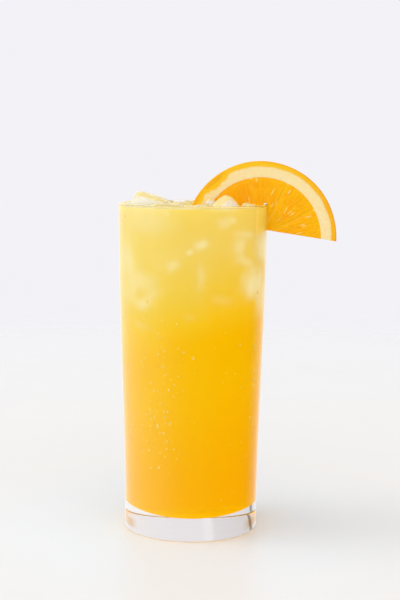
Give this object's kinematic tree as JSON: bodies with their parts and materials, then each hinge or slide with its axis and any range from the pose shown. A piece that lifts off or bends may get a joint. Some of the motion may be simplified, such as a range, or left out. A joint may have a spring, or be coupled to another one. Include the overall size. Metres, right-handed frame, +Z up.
{
  "type": "iced orange mocktail in a tall glass",
  "caption": "Tall clear glass with a thick base, filled to the rim with cloudy orange drink and ice, with a half wheel of orange hung on the rim by a slit.",
  "frame": {"origin": "centre of the glass's foot, on the table", "axes": "+Z up along the glass's axis; +X towards the side of the rim that carries the slice; the slice's cut faces look along -Y, the front, and +Y"},
  "size_m": [0.0995, 0.068, 0.1693],
  "materials": {
    "glass": "clear pressed glass, smooth and polished",
    "drink": "cloudy orange drink, paler yellow near the ice at the top",
    "orange_slice": "wet cut orange: amber flesh, cream pith, golden rind",
    "ice": "clear wet melting ice"
  },
  "bodies": {
    "root": {"glass": "glass", "drink": "drink", "orange_slice": "orange_slice", "ice_1": "ice", "ice_2": "ice", "ice_3": "ice", "ice_4": "ice", "ice_5": "ice", "ice_6": "ice", "ice_7": "ice", "ice_8": "ice", "ice_9": "ice", "ice_10": "ice"}
  },
  "joints": []
}
